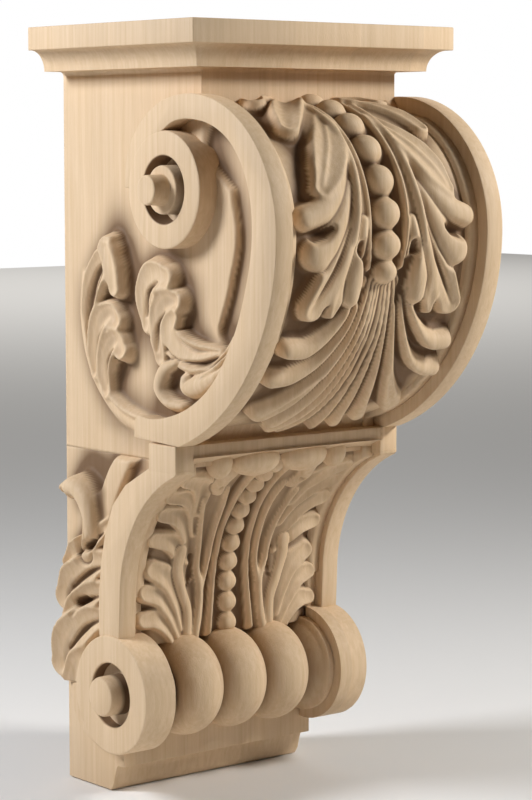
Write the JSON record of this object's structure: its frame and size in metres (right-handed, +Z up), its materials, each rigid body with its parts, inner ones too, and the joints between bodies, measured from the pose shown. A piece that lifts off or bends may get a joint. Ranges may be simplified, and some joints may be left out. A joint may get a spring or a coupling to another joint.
{
  "type": "wooden corbel bracket",
  "caption": "Carved wooden corbel with a moulded cap, a leaf-carved roll, a shelf, and a turned spindle between two small volutes, made to be built in under a shelf or beam.",
  "frame": {"origin": "centre of the flat back face", "axes": "+X across the bracket, +Y out of the back face into the wall, +Z up"},
  "size_m": [0.152, 0.1688, 0.356],
  "materials": {
    "maple": "unfinished, sanded, with crisp carving"
  },
  "bodies": {
    "root": {"corbel": "maple"}
  },
  "joints": []
}
